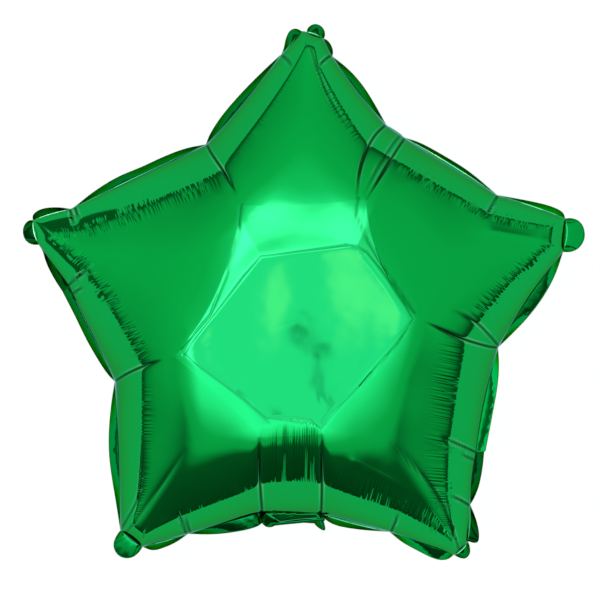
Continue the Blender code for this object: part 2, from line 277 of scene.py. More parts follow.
def ringShares(length):
    # outer rings at set distances from the seam, then steps that close up at the arm line
    band = [0.0]
    for reach, count, crowd in film["bandRings"]:
        band += list(band[-1] + (reach - band[-1]) * (np.arange(1, count + 1) / count) ** crowd)
    outer = np.array(band) / band[-1]
    bandShare = (np.minimum(band[-1], film["bandMost"] * length) / length)[:, None]
    inner = 1 - (1 - np.arange(1, film["armRings"] + 1) / film["armRings"]) ** film["armCrowd"]
    return np.hstack([outer[None] * bandShare, bandShare + inner[None] * (1 - bandShare)])


def rootFrame(sector):
    # the straight line under an arm's root: start, direction, outward direction, length
    start, end = place(*creases[sector["from"]][-1]), place(*creases[sector["to"]][-1])
    length = np.linalg.norm(end - start)
    chord = (end - start) / length
    return start, chord, np.array([chord[1], -chord[0]]), length


def sectorGrid(sector):
    first, last = sector["from"], sector["to"]
    seam = seamPoints(first, last)
    steps = np.linalg.norm(np.diff(seam, axis=0), axis=1)
    u = np.concatenate([[0], np.cumsum(steps)]) / steps.sum()
    start, chord, away, length = rootFrame(sector)
    arm = start + chord * (u * length)[:, None] - away * (pixels(sector["bow"]) * 4 * u * (1 - u))[:, None]
    shares = ringShares(np.linalg.norm(seam - arm, axis=1))
    straight = seam[:, None] * (1 - shares[..., None]) + arm[:, None] * shares[..., None]
    bendStart = alongLine(cutCorners(places(creases[first])), shares[0]) - straight[0]
    bendEnd = alongLine(cutCorners(places(creases[last])), shares[-1]) - straight[-1]
    fade = film["wideFade"] if len(seam) > film["wideSector"] else 1
    grid = straight + bendStart[None] * ((1 - u) ** fade)[:, None, None]
    grid = grid + bendEnd[None] * (u ** fade)[:, None, None]
    facet = alongLine(places([facetCorners[first]] + facetBends[first] + [facetCorners[last]]), u)
    rings = [grid]
    for k in range(1, film["shoulderRings"] + 1):
        rings.append((arm + (facet - arm) * (1 - (1 - k / film["shoulderRings"]) ** 2))[:, None])
    for k in range(1, film["facetRings"]):
        rings.append((facet * (1 - (k / film["facetRings"]) ** 2))[:, None])
    return np.concatenate(rings, axis=1)


# Heights

def lineFrame(run):
    start, end = place(*seamRows[run[0]][:2]), place(*seamRows[run[1]][:2])
    length = np.linalg.norm(end - start)
    along = (end - start) / length
    return start, along, np.array([-along[1], along[0]]), length


def lineDistance(xy, run):
    start, _, inward, _ = lineFrame(run)
    return (xy - start) @ inward


def softMin(values, softness):
    values = np.stack(values)
    low = values.min(0)
    return low - softness * np.log(np.exp((low - values) / softness).sum(0))


def kneeDistance(xy, sector, k):
    # how far in from one side of a sector the knee lies: less near the arm's tip
    knee = 0.001 * sector["knees"][k]
    if len(sector["sides"]) == 1 or k == 1:
        return knee
    if k == 0:
        start, along, _, length = lineFrame(sector["sides"][0][-1])
        fromTip = length - (xy - start) @ along
    else:
        start, along, _, _ = lineFrame(sector["sides"][2][0])
        fromTip = (xy - start) @ along
    return knee * (1 - film["tipKnee"] * np.exp(-np.maximum(fromTip, 0) / film["tipLength"]))


def sideShares(xy, sector):
    # distance from each side of a sector, in knee distances
    shares = []
    for k, side in enumerate(sector["sides"]):
        distance = np.max([lineDistance(xy, run) for run in side], axis=0)
        shares.append(distance / kneeDistance(xy, sector, k))
    return shares


def seamShare(xy, sector):
    shares = np.maximum(sideShares(xy, sector), 1e-4)
    power = film["rounding"]
    return (shares ** -power).sum(0) ** (-1 / power)


def ownKnee(xy, sector):
    # the knee distance that holds at each place, nearer sides counting more
    weights = np.maximum(sideShares(xy, sector), 1e-4) ** -film["rounding"]
    knees = np.stack([kneeDistance(xy, sector, k) + 0 * weights[0] for k in range(len(weights))])
    return (weights * knees).sum(0) / weights.sum(0)


def outside(xy, corners):
    # how far outside a convex outline each place lies, below 0 inside it
    best = np.full(xy.shape[:-1], -1.0)
    for k in range(len(corners)):
        start, end = corners[k - 1], corners[k]
        length = np.linalg.norm(end - start)
        if length < film["shortEdge"]:
            continue
        along = (end - start) / length
        best = np.maximum(best, (xy - start) @ np.array([along[1], -along[0]]))
    return best


def tube(share, knee):
    # height of the film as a share of its full height: the tube, then the plate past its knee
    left = np.clip(1 - (share - 1) * knee / film["plateReach"], 0, None)
    plate = film["kneeRise"] + (1 - film["kneeRise"]) * (1 - left ** film["plateCurve"])
    low = np.clip(share, 0, None) ** film["tubePower"] * film["kneeRise"]
    return softMin([low, plate], film["kneeSoftness"])


def armDrop(xy, sector):
    start, chord, away, length = rootFrame(sector)
    u = np.clip((xy - start) @ chord / length, 0, 1)
    beyond = np.maximum((xy - start) @ away + pixels(sector["bow"]) * 4 * u * (1 - u), 0)
    first, full = [math.tan(math.radians(tilt)) for tilt in sector["tilts"]]
    over = sector["over"]
    return full * beyond - (full - first) * over * (1 - np.exp(-beyond / over))


def shoulderDrop(xy):
    facet = np.maximum(outside(xy, places(facetCorners.values())), 0)
    return math.tan(math.radians(film["shoulderTilt"])) * facet


def segmentDistance(xy, start, end):
    along = end - start
    s = np.clip(((xy - start) @ along) / (along @ along), 0, 1)
    return np.linalg.norm(xy - start - s[..., None] * along, axis=-1), s


def pressGroove(xy, groove, fading=True):
    # how deep a groove is at each place, and how strongly each place takes its painted shade line or its
    # painted highlight
    line = places(groove[0])
    if fading:
        line = cutCorners(line)
    steps = np.concatenate([[0], np.cumsum(np.linalg.norm(np.diff(line, axis=0), axis=1))])
    best = np.full(xy.shape[:-1], 1.0)
    at = np.zeros(xy.shape[:-1])
    for k in range(len(line) - 1):
        aside, s = segmentDistance(xy, line[k], line[k + 1])
        at = np.where(aside < best, (steps[k] + s * (steps[k + 1] - steps[k])) / steps[-1], at)
        best = np.minimum(best, aside)
    fade = np.clip((1 - at) / grooveLook["fade"], 0, 1) if fading else 1
    strength = np.clip(groove[1] / grooveLook["fullDepth"], 0, 1)
    # painted shade along the groove's line, and a painted highlight a little beside it
    dark = fade * np.exp(-(best / grooveLook["darkWidth"]) ** 2) * strength
    fromHighlight = (best - grooveLook["highlightPlace"]) / grooveLook["highlightWidth"]
    highlight = fade ** 2 * np.exp(-fromHighlight ** 2) * strength
    return 0.001 * groove[1] * fade * np.exp(-best / (0.001 * groove[2])), dark, highlight


def randomWave(rng, at, pitch):
    # an uneven wave along the seam, about one crest in each pitch, from -1 to 1
    count = int((at.max() - at.min()) / pitch) + 6
    knots = at.min() - 2 * pitch + np.cumsum(pitch * rng.uniform(0.55, 1.45, count * 2))
    heights = rng.uniform(0.25, 1.0, len(knots)) * np.where(np.arange(len(knots)) % 2, 1, -1)
    knot = np.clip(np.searchsorted(knots, at) - 1, 0, len(knots) - 2)
    share = np.clip((at - knots[knot]) / (knots[knot + 1] - knots[knot]), 0, 1)
    share = share * share * (3 - 2 * share)
    return heights[knot] * (1 - share) + heights[knot + 1] * share


gathers = {
    "pitch": 0.0090, "height": 0.00030,
    "window": (0.74, 0.92, 1.08),     # in knee distances: starts, full from, full to
    "fineHeight": 0.00030,            # of the fine ones, which the film's material makes
    "patchPitch": 0.022,              # the fine ones come and go: how far apart, how strong
    "patchMean": 0.75, "patchSwing": 0.6, "patchLeast": 0.1,
    "endFade": 0.006,                 # they die out before a pinch or valley
    "shortRun": 0.02,                 # and a run of the seam shorter than this has none
    "sideReach": 0.2,                 # in knee distances, past the ridge to the next side
    "sidePlace": 0.4,                 # metres between the sides' places along the seam
}


def gatherWindow(share, sector):
    start, full, fall = gathers["window"]
    fall, end = sector.get("gatherFull", fall), sector["gatherEnd"]
    rising = np.clip((share - start) / (full - start), 0, 1)
    window = np.minimum(rising, np.clip((end - share) / (end - fall), 0, 1))
    return window * window * (3 - 2 * window)


def gatherHeights(rng, xy, sector, share):
    # long gathers across each side's knee, how strong the fine ones are, and the place along
    total, fine, seamAlong = np.zeros((3,) + xy.shape[:-1])
    nearest = np.full(xy.shape[:-1], np.inf)
    shares = sideShares(xy, sector)
    for k, side in enumerate(sector["sides"]):
        own = np.clip(1 - np.abs(shares[k] - share) / gathers["sideReach"], 0, 1)
        own = own * gatherWindow(shares[k], sector)
        base = gathers["sidePlace"] * k
        for run in side:
            start, along, _, length = lineFrame(run)
            at = (xy - start) @ along
            ends = np.clip(np.minimum(at, length - at) / gathers["endFade"], 0, 1)
            if length <= gathers["shortRun"]:
                ends = 0
            patch = randomWave(rng, at, gathers["patchPitch"])
            patch = np.clip(gathers["patchMean"] + gathers["patchSwing"] * patch, gathers["patchLeast"], 1)
            strength = own * ends * sector["gathers"][k]
            total += strength * gathers["height"] * randomWave(rng, at, gathers["pitch"])
            fine = np.maximum(fine, strength * patch * gathers["fineHeight"])
            nearer = (at > 0) & (at < length) & (shares[k] < nearest)
            seamAlong = np.where(nearer, base + at, seamAlong)
            nearest = np.where(nearer, shares[k], nearest)
            base += length
    return total, fine, seamAlong


def undulation(rng, xy):
    # seven long waves in chance directions, which together are about three times one
    total = np.zeros(xy.shape[:-1])
    for _ in range(7):
        angle = rng.uniform(0, math.pi)
        length = film["undulationLength"] * rng.uniform(0.7, 1.6)
        wave = xy @ np.array([math.cos(angle), math.sin(angle)]) * 2 * math.pi / length
        total += np.sin(wave + rng.uniform(0, 6.28)) * length / film["undulationLength"]
    return total * film["undulation"] / 3


def agreed(k, xy, measure, blend):
    # a sector's measure, brought near each crease to its mean with the neighbour's
    result = measure(xy, sectors[k])
    for edge, other in ((0, k - 1), (-1, (k + 1) % len(sectors))):
        line = xy[edge]
        gap = (measure(line, sectors[other]) - measure(line, sectors[k])) / 2
        aside = np.linalg.norm(xy - line[None], axis=-1)
        result = result + gap[None] * np.exp(-aside / blend)
    return result


def sectorHeights(k, xy, rng):
    # a sector's heights above the seam, its fine gathers and its places along the seam
    inward = np.linalg.norm(xy - xy[:, :1], axis=-1)
    share = agreed(k, xy, seamShare, film["blend"])
    share = share - share[:, :1] * np.exp(-inward / film["seamBlend"])
    plate = film["rise"] - shoulderDrop(xy) - agreed(k, xy, armDrop, film["dropBlend"])
    plate = plate - film["facetCrown"] * np.clip((xy ** 2).sum(-1) / film["crownReach"] ** 2, 0, 1)
    long, fine, seamAlong = gatherHeights(rng, xy, sectors[k], share)
    return plate * tube(share, agreed(k, xy, ownKnee, film["blend"])) + long, fine, seamAlong


# Making meshes

class Sheet:
    # vertices and faces of one film

    def __init__(self):
        self.points = []
        self.faces = []
        self.count = 0

    def ring(self, points):
        self.points.append(points)
        first = self.count
        self.count += len(points)
        return np.arange(first, self.count)

    def band(self, outer, inner):
        a, b = outer, np.roll(outer, -1)
        c, d = np.roll(inner, -1), inner
        self.faces.extend(np.stack([a, b, c, d], 1).tolist())


def makeMesh(name, points, faces):
    mesh = bpy.data.meshes.new(name)
    mesh.from_pydata([tuple(p) for p in points], [], faces)
    mesh.update()
    mesh.shade_smooth()
    piece = bpy.data.objects.new(name, mesh)
    bpy.context.scene.collection.objects.link(piece)
    return piece


def addValues(piece, name, values):
    # one number for each vertex, which a material can read
    attribute = piece.data.attributes.new(name, "FLOAT", "POINT")
    attribute.data.foreach_set("value", np.asarray(values, dtype=np.float32))


def makeFilm(name, side, seed):
    # side is 1 for the front film and -1 for the back one
    rng = np.random.default_rng(seed)
    grids = [sectorGrid(sector) for sector in sectors]
    measures = [sectorHeights(k, xy, rng) for k, xy in enumerate(grids)]
    xy = np.concatenate([grid[:-1] for grid in grids])
    rise, fine, seamAlong = [np.concatenate([part[:-1] for part in parts]) for parts in zip(*measures)]
    inward = np.linalg.norm(xy - xy[:, :1], axis=-1)
    loose = np.clip(inward / film["undulationFrom"], 0, 1)
    fromMiddle = np.clip((np.linalg.norm(xy, axis=-1) - film["tautFrom"]) / film["tautReach"], 0, 1)
    loose = loose * (film["tautLeast"] + (1 - film["tautLeast"]) * fromMiddle)
    rise = rise + undulation(rng, xy) * loose
    # painted shade along the grooves, and painted highlights beside them
    fold, highlight = np.zeros((2,) + rise.shape)
    for groove in filmGrooves:
        depth, shadeHere, highlightHere = pressGroove(xy, groove)
        rise = rise - depth * np.clip(inward / film["grooveFrom"], 0, 1)
        fold, highlight = np.maximum(fold, shadeHere), np.maximum(highlight, highlightHere)
    # the facet edges are shallow grooves with painted shade along them
    for edge in facetEdges:
        depth, shadeHere, _ = pressGroove(xy, edge, False)
        rise = rise - depth
        fold = np.maximum(fold, shadeHere * film["facetShade"])
    # a painted highlight along the seam
    highlight = np.maximum(highlight, film["seamHighlight"] * np.exp(-inward / film["seamHighlightWidth"]))
    rise[:, 0] = 0
    if side < 0:
        rise = np.minimum(rise, film["rise"])      # the back film stays above the floor
    sheet = Sheet()
    last = None
    for j in range(xy.shape[1]):
        ring = sheet.ring(np.column_stack([xy[:, j], seamHeight + side * rise[:, j]]))
        if last is not None:
            sheet.band(last, ring)
        last = ring
    middle = sheet.ring(np.array([[0, 0, seamHeight + side * film["rise"]]]))[0]
    sheet.faces.extend([[a, b, middle] for a, b in zip(last, np.roll(last, -1))])
    faces = sheet.faces if side > 0 else [f[::-1] for f in sheet.faces]
    piece = makeMesh(name, np.vstack(sheet.points), faces)
    addValues(piece, "gatherHeight", np.append(fine.T.ravel(), 0))
    addValues(piece, "seamAlong", np.append(seamAlong.T.ravel(), 0))
    # the painted shade and highlights go to the material, which mixes them into the foil's colour
    addValues(piece, "shadeLine", np.append(fold.T.ravel(), 0))
    addValues(piece, "highlightLine", np.append(highlight.T.ravel(), 0))
    return piece


# The sealed border: one lobe beside each stretch of the seam, drooping at its pinches

border = {
    "width": 0.0098,          # true width of the flat border
    "thickness": 0.00016,
    "step": 0.0009,
    "rows": 10,
    "overlap": 0.0006,        # how far it reaches in under the films' edges
    "leastSlope": 0.32,
    "droopCurve": 1.3,
    "crimpPitch": 0.0042,
    "crimpHeight": 0.00030,
    "crimpFrom": 0.004,       # narrower than this, the crimps are lower
    "crimpCurve": 0.7,        # how fast they grow outwards
    "crimpEnd": 1.1,          # over 1 lets them fall again just before the edge
    # painted light and shade: how light each lobe's foil is made, by row, where it isn't 1
    "paintedLight": {1: 0.9, 2: 0.9, 3: 0.5, 4: 0.6, 5: 0.45, 6: 0.9, 7: 1.4, 8: 1.5, 15: 1.6, 17: 0.5,
              18: 0.6, 19: 2.6, 20: 1.5, 21: 1.6, 22: 1.3},
    "tipRows": [0, 4, 8, 16, 17, 21, 26, 27, 28],      # the lobes that are tabs at the tips
}


def borderLobe(k, rng):
    start, end = places([seamRows[k], seamRows[(k + 1) % len(seamRows)]])
    length = np.linalg.norm(end - start)
    along = (end - start) / length
    outwardWay = np.array([along[1], -along[0]])
    outline = cutCorners(places(seamRows[k][3]), 4)
    reach = np.linalg.norm(np.diff(outline, axis=0), axis=1).sum()
    count = max(8, round(max(length, reach) / border["step"]))
    u = np.linspace(0, 1, count + 1)
    bulge = pixels(seamRows[k][2]) * 4 * u * (1 - u)
    seam = start + (end - start) * u[:, None] + outwardWay * bulge[:, None]
    edge = alongLine(outline, u)
    width = np.linalg.norm(edge - seam, axis=1)
    # where the photograph shows it narrower than it is, it hangs down by what is missing
    hidden = np.sqrt(np.maximum(border["width"] ** 2 - width ** 2, 0))
    droop = np.maximum(hidden, border["leastSlope"] * width)
    wave = randomWave(rng, u * reach, border["crimpPitch"]) * np.clip(width / border["crimpFrom"], 0, 1)
    rows = []
    for j in range(border["rows"] + 1):
        t = j / border["rows"]
        xy = seam * (1 - t) + edge * t
        xy = xy - outwardWay * border["overlap"] * (1 - t)
        crimp = t ** border["crimpCurve"] * math.sin(math.pi * min(1, t * border["crimpEnd"]))
        z = seamHeight - droop * t ** border["droopCurve"] + wave * border["crimpHeight"] * crimp
        rows.append(np.column_stack([xy, z]))
    return np.stack(rows, 1)


def thickSheet(grid, thickness):
    # points and faces of a closed sheet: both sides of a grid and its rim
    du = np.gradient(grid, axis=0)
    dv = np.gradient(grid, axis=1)
    normal = np.cross(dv, du)
    normal = normal / np.maximum(np.linalg.norm(normal, axis=-1, keepdims=True), 1e-12)
    top = grid + normal * thickness / 2
    bottom = grid - normal * thickness / 2
    n, m = grid.shape[:2]
    index = np.arange(n * m).reshape(n, m)
    quads = np.stack([index[:-1, :-1], index[:-1, 1:], index[1:, 1:], index[1:, :-1]], -1).reshape(-1, 4)
    rim = np.concatenate([index[:, 0], index[-1, 1:], index[-2::-1, -1], index[0, -2:0:-1]])
    faces = quads.tolist() + (quads[:, ::-1] + n * m).tolist()
    after = np.roll(rim, -1)
    faces += np.stack([rim, after, after + n * m, rim + n * m], -1).tolist()
    return np.vstack([top.reshape(-1, 3), bottom.reshape(-1, 3)]), faces


def makeBorder(name, rowNumbers, seed):
    rng = np.random.default_rng(seed)
    points, faces, paintedLight, count = [], [], [], 0
    for k in rowNumbers:
        lobePoints, lobeFaces = thickSheet(borderLobe(k, rng), border["thickness"])
        points.append(lobePoints)
        # painted light and shade, one level for each lobe
        paintedLight.append(np.full(len(lobePoints), border["paintedLight"].get(k, 1.0)))
        faces += [[i + count for i in face] for face in lobeFaces]
        count += len(lobePoints)
    piece = makeMesh(name, np.vstack(points), faces)
    addValues(piece, "paintedLightLevel", np.concatenate(paintedLight))
    return piece


# The filling neck: a flat two-film tail folded down behind the lowest valley

neck = {
    "width": 0.038,
    "length": 0.050,
    "thickness": 0.0003,
    "rows": (12, 13),         # the rows of the seam that it comes out between
    "fold": [(0.0, 0.0), (0.0012, -0.0006), (0.0020, -0.0022)],     # outwards and down from the seam
    "clear": 0.0016,          # from the back film, which it follows after the fold
    "followFrom": 0.004,      # below the seam
    "followReach": 0.060,     # inwards
    "taper": 0.10,            # share of its width lost over a length
    "taperLength": 0.020,
    "edgeCurl": 0.0010,
    "ripple": 0.0005,
    "ripplePitch": 0.005,
    "rippleFrom": 0.010,
    "columns": 60,
    "lengthSteps": 90,
}


def neckPath(rng):
    # the tail's lengthwise section: distances outwards and down from the seam's middle
    number = [sector["name"] for sector in sectors].index("neck")
    xy = sectorGrid(sectors[number])
    middle = xy.shape[0] // 2
    rise = sectorHeights(number, xy, rng)[0][middle]
    inward = np.linalg.norm(xy[middle] - xy[middle, 0], axis=-1)
    profile = np.column_stack([-inward, -rise])
    slope = np.gradient(profile, axis=0)
    slope = slope / np.maximum(np.linalg.norm(slope, axis=1, keepdims=True), 1e-9)
    away = profile + np.column_stack([-slope[:, 1], slope[:, 0]]) * neck["clear"]
    follow = [tuple(p) for p in away if p[1] < -neck["followFrom"] and p[0] > -neck["followReach"]]
    path = np.array(neck["fold"] + follow)
    steps = np.concatenate([[0], np.cumsum(np.linalg.norm(np.diff(path, axis=0), axis=1))])
    at = np.linspace(0, neck["length"], neck["lengthSteps"])
    return at, np.interp(at, steps, path[:, 0]), np.interp(at, steps, path[:, 1])


def makeNeck(name, seed):
    rng = np.random.default_rng(seed)
    at, out, down = neckPath(rng)
    start, end = places([seamRows[k] for k in neck["rows"]])
    centre = (start + end) / 2
    along = (end - start) / np.linalg.norm(end - start)
    outwardWay = np.array([along[1], -along[0]])
    columns = neck["columns"]
    ripple = randomWave(rng, np.arange(columns) * neck["width"] / columns, neck["ripplePitch"])
    width = neck["width"] * (1 - neck["taper"] * np.clip(at / neck["taperLength"], 0, 1))
    grid = np.zeros((columns, neck["lengthSteps"], 3))
    for i, share in enumerate(np.linspace(-0.5, 0.5, columns)):
        sink = neck["ripple"] * ripple[i] * np.clip(at / neck["rippleFrom"], 0, 1)
        curl = neck["edgeCurl"] * (2 * share) ** 4
        grid[i, :, :2] = centre + along * (share * width)[:, None] + outwardWay * out[:, None]
        grid[i, :, 2] = seamHeight + down - sink + curl
    points, faces = thickSheet(grid, neck["thickness"])
    piece = makeMesh(name, points, faces)
    # the neck takes no painted light or shade
    addValues(piece, "paintedLightLevel", np.ones(len(points)))
    return piece


# Materials

def linear(code):
    # a hex colour as Blender's linear one
    values = []
    for k in (0, 2, 4):
        v = int(code[k:k + 2], 16) / 255
        values.append(v / 12.92 if v <= 0.04045 else ((v + 0.055) / 1.055) ** 2.4)
    return tuple(values) + (1.0,)


def addNode(tree, kind, settings=None, links=None):
    # settings are the node's own or its sockets' constants; links come from other nodes
    node = tree.nodes.new(kind)
    for key, setting in (settings or {}).items():
        if isinstance(key, str) and hasattr(node, key):
            setattr(node, key, setting)
        else:
            node.inputs[key].default_value = setting
    for key, source in (links or {}).items():
        tree.links.new(source, node.inputs[key])
    return node


def nodeSum(tree, operation, first, second=None, third=None):
    # one sum on numbers or on other nodes' outputs
    node = addNode(tree, "ShaderNodeMath", {"operation": operation})
    for k, item in enumerate((first, second, third)):
        if isinstance(item, (int, float)):
            node.inputs[k].default_value = item
        elif item is not None:
            tree.links.new(item, node.inputs[k])
    return node.outputs[0]


def mixColours(tree, share, first, second):
    # from the first colour to the second; each may be a colour or another node's output
    items = {0: share, 6: first, 7: second}
    constants = {k: item for k, item in items.items() if isinstance(item, tuple)}
    links = {k: item for k, item in items.items() if k not in constants}
    return addNode(tree, "ShaderNodeMix", {"data_type": "RGBA", **constants}, links).outputs[2]


def meshValue(tree, name):
    return addNode(tree, "ShaderNodeAttribute", {"attribute_name": name}).outputs["Fac"]


def noise(tree, where, scale, detail):
    settings = {"Scale": scale, "Detail": detail}
    return addNode(tree, "ShaderNodeTexNoise", settings, {"Vector": where}).outputs[0]


def lineNoise(tree, along, length, detail):
    # uneven along a line, over about so many metres
    settings = {"noise_dimensions": "1D", "Scale": 1.0, "Detail": detail}
    at = nodeSum(tree, "MULTIPLY", along, 1 / length)
    return addNode(tree, "ShaderNodeTexNoise", settings, {"W": at}).outputs[0]


def addBump(tree, height):
    # heights are in metres
    settings = {"Strength": 1.0, "Distance": 1.0}
    return addNode(tree, "ShaderNodeBump", settings, {"Height": height}).outputs[0]


def newMaterial(name):
    material = bpy.data.materials.new(name)
    material.use_nodes = True
    return material, material.node_tree, material.node_tree.nodes["Principled BSDF"]


foil = {
    "colour": "0da147",
    "edge": "2cb4a8",         # the metal's colour seen at a slant
    "roughness": 0.055,
    "roughnessRange": (0.8, 1.3),
    "clearFilm": 0.065,
    "clearRoughness": 0.04,
    "fold": ("02230c", 0.9),  # the painted shade line in a fold: colour, how strong
    "highlight": ("7fd79b", 0.45),  # the painted highlight beside it: colour, how strong
    "crinkle": 0.000072,      # metres high
    "crinkleScale": 55.0,
    "dullScale": 18.0,
    "gatherPitch": 0.0026,
    "gatherDrift": 5.0,       # how many gathers their spacing wanders by, over a length
    "driftLength": 0.012,
    "gatherUneven": 1.6,      # how much their heights differ, over a length
    "unevenLength": 0.0031,
}


def metallisedFoilFilm():
    # dyed aluminium under clear polyester: a sharp tinted mirror with a thin white shine
    material, tree, shader = newMaterial("metallised foil film")
    shader.inputs["Base Color"].default_value = linear(foil["colour"])
    shader.inputs["Metallic"].default_value = 1.0
    shader.inputs["Specular Tint"].default_value = linear(foil["edge"])
    shader.inputs["Coat Weight"].default_value = foil["clearFilm"]
    shader.inputs["Coat Roughness"].default_value = foil["clearRoughness"]
    where = addNode(tree, "ShaderNodeTexCoord").outputs["Object"]

    # painted shade along pinched folds and facet edges, and painted highlights beside the folds and along
    # the seam
    darkColour, darkness = foil["fold"]
    paleColour, paleness = foil["highlight"]
    highlight = nodeSum(tree, "MULTIPLY", meshValue(tree, "highlightLine"), paleness)
    fold = nodeSum(tree, "MULTIPLY", meshValue(tree, "shadeLine"), darkness)
    colour = mixColours(tree, highlight, linear(foil["colour"]), linear(paleColour))
    colour = mixColours(tree, fold, colour, linear(darkColour))
    tree.links.new(colour, shader.inputs["Base Color"])

    # slight waviness keeps long reflections from looking machined
    crinkle = nodeSum(tree, "MULTIPLY", noise(tree, where, foil["crinkleScale"], 1.0), foil["crinkle"])
    sharpest, dullest = [foil["roughness"] * factor for factor in foil["roughnessRange"]]
    rough = addNode(tree, "ShaderNodeMapRange",
                    {"From Min": 0.3, "From Max": 0.7, "To Min": sharpest, "To Max": dullest},
                    {"Value": noise(tree, where, foil["dullScale"], 2.0)}).outputs[0]
    tree.links.new(rough, shader.inputs["Roughness"])

    # fine gathers that run across the knee of the tube, uneven in pitch and height
    along = meshValue(tree, "seamAlong")
    drift = lineNoise(tree, along, foil["driftLength"], 1.0)
    drift = nodeSum(tree, "MULTIPLY", drift, foil["gatherDrift"])
    turns = nodeSum(tree, "ADD", nodeSum(tree, "DIVIDE", along, foil["gatherPitch"]), drift)
    wave = nodeSum(tree, "SINE", nodeSum(tree, "MULTIPLY", turns, 2 * math.pi))
    uneven = lineNoise(tree, along, foil["unevenLength"], 0.0)
    uneven = nodeSum(tree, "MULTIPLY", uneven, foil["gatherUneven"])
    ridge = nodeSum(tree, "MULTIPLY", wave, uneven)
    height = nodeSum(tree, "MULTIPLY_ADD", ridge, meshValue(tree, "gatherHeight"), crinkle)
    bump = addBump(tree, height)
    tree.links.new(bump, shader.inputs["Normal"])
    tree.links.new(bump, shader.inputs["Coat Normal"])
    return material


seal = {
    "colour": "067a36",
    "edge": "30865a",
    "roughness": 0.10,
    "crinkle": 0.00027,       # metres high
    "tabCrinkle": 0.000054,   # on the tabs at the tips, which are pressed flatter
    "foldScale": 150.0,
    "facetScale": 260.0,
    "facetShare": 0.35,
}


def heatSealedFoil(name, crinkle):
    # two films welded flat: crushed by the sealing bar, so darker, duller and full of facets
    material, tree, shader = newMaterial(name)
    # the seal's colour, made lighter or darker lobe by lobe as painted light and shade
    colour = addNode(tree, "ShaderNodeVectorMath", {"operation": "SCALE", 0: linear(seal["colour"])[:3]},
                     {"Scale": meshValue(tree, "paintedLightLevel")}).outputs[0]
    tree.links.new(colour, shader.inputs["Base Color"])
    shader.inputs["Metallic"].default_value = 1.0
    shader.inputs["Roughness"].default_value = seal["roughness"]
    shader.inputs["Specular Tint"].default_value = linear(seal["edge"])
    where = addNode(tree, "ShaderNodeTexCoord").outputs["Object"]
    facets = addNode(tree, "ShaderNodeTexVoronoi", {"Scale": seal["facetScale"]}, {"Vector": where})
    facets = nodeSum(tree, "MULTIPLY", facets.outputs["Distance"], seal["facetShare"])
    folds = noise(tree, where, seal["foldScale"], 2.0)
    height = nodeSum(tree, "MULTIPLY", nodeSum(tree, "ADD", folds, facets), crinkle)
    tree.links.new(addBump(tree, height), shader.inputs["Normal"])
    return material


# Pieces

filmMaterial = metallisedFoilFilm()
sealMaterial = heatSealedFoil("heat sealed foil", seal["crinkle"])
tabMaterial = heatSealedFoil("flat sealed foil", seal["tabCrinkle"])
frontFilm = makeFilm("front_film", 1, 11)
backFilm = makeFilm("back_film", -1, 12)
print("films", len(frontFilm.data.polygons), "faces each")
tipRows = border["tipRows"]
lobes = makeBorder("sealed_border", [k for k in range(len(seamRows)) if k not in tipRows], 21)
tabs = makeBorder("tip_tabs", tipRows, 22)
tail = makeNeck("filling_neck", 31)
print("border, tabs and neck made")
for piece, material in ((frontFilm, filmMaterial), (backFilm, filmMaterial), (lobes, sealMaterial),
                        (tabs, tabMaterial), (tail, sealMaterial)):
    piece.data.materials.append(material)
    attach(piece, "root")
    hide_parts("balloon")


# Stage

stage = {
    "floorSize": 12.0,
    "floorDrop": 0.0005,      # below the balloon
    "floor": "dadada",
    "glow": 1.04,             # the floor as the camera and the foil see it, lit or not
    "glowShare": 0.93,
    "brightest": 4.0,         # the most that the room's values may be
    # the room at each angle from straight up: how bright, and its red and blue for each green
    "room": [(0, 1.08, 1, 1.5), (6, 1.06, 1, 1.5), (11, 0.84, 0.7, 1.2), (16, 0.70, 0.5, 1.0),
             (26, 0.57, 0.3, 0.80), (42, 0.53, 0.3, 0.80), (56, 0.50, 0.3, 0.80), (66, 0.41, 0.3, 0.75),
             (71, 0.28, 0.3, 0.75), (76, 0.14, 0.3, 0.75), (81, 0.09, 0.3, 0.75), (90.5, 0.09, 0.3, 0.75),
             (92.5, 0.45, 0.5, 1.1), (180, 0.5, 0.5, 1.1)],
    # towards the lamp
    "lamp": [(0, 1.08, 1, 1.5), (7, 1.08, 1, 1.5), (10, 1.3, 1.5, 1.6), (14, 2.5, 2.4, 1.8),
             (17, 2.2, 2.4, 1.8), (22, 1.25, 1, 1.4), (30, 0.86, 0.6, 1.1), (42, 0.58, 0.3, 0.80),
             (56, 0.50, 0.3, 0.80), (66, 0.41, 0.3, 0.75), (71, 0.28, 0.3, 0.75), (76, 0.15, 0.3, 0.75),
             (81, 0.11, 0.3, 0.75), (90.5, 0.11, 0.3, 0.75), (92.5, 0.45, 0.5, 1.1), (180, 0.5, 0.5, 1.1)],
    # below the star, where the room is dark
    "dark": [(0, 1.08, 1, 1.5), (7, 1.10, 1, 1.5), (17, 1.45, 1, 1.5), (26, 1.15, 0.9, 1.3),
             (32, 0.80, 0.7, 1.1), (37, 0.54, 0.4, 0.85), (43, 0.46, 0.3, 0.8), (48, 0.10, 0.3, 0.8),
             (66, 0.06, 0.3, 0.8), (90.5, 0.04, 0.3, 0.75), (92.5, 0.45, 0.5, 1.1), (180, 0.5, 0.5, 1.1)],
    "darkFrom": (104, 142),   # degrees round from the top arm: where it begins, where it is full
    "light": 1.9,
    "lampTowards": (-0.94, 0.34, 0.0),
    # soft dark shapes overhead: where, how wide and high, how dark
    "shapes": [(0.002, -0.019, 0.010, 0.010, 0.9), (0.018, -0.035, 0.010, 0.012, 0.85),
               (0.018, -0.077, 0.007, 0.050, 0.5)],
    "shapeColour": (0.0, 0.02, 0.01, 1.0),
    # pale panes overhead: where, how wide and high, how strong
    "panes": [(0.056, 0.021, 0.030, 0.065, 0.6), (-0.027, 0.012, 0.014, 0.052, 0.6)],
    "paneColour": (1.9, 0.38, 0.5, 1.0),
}


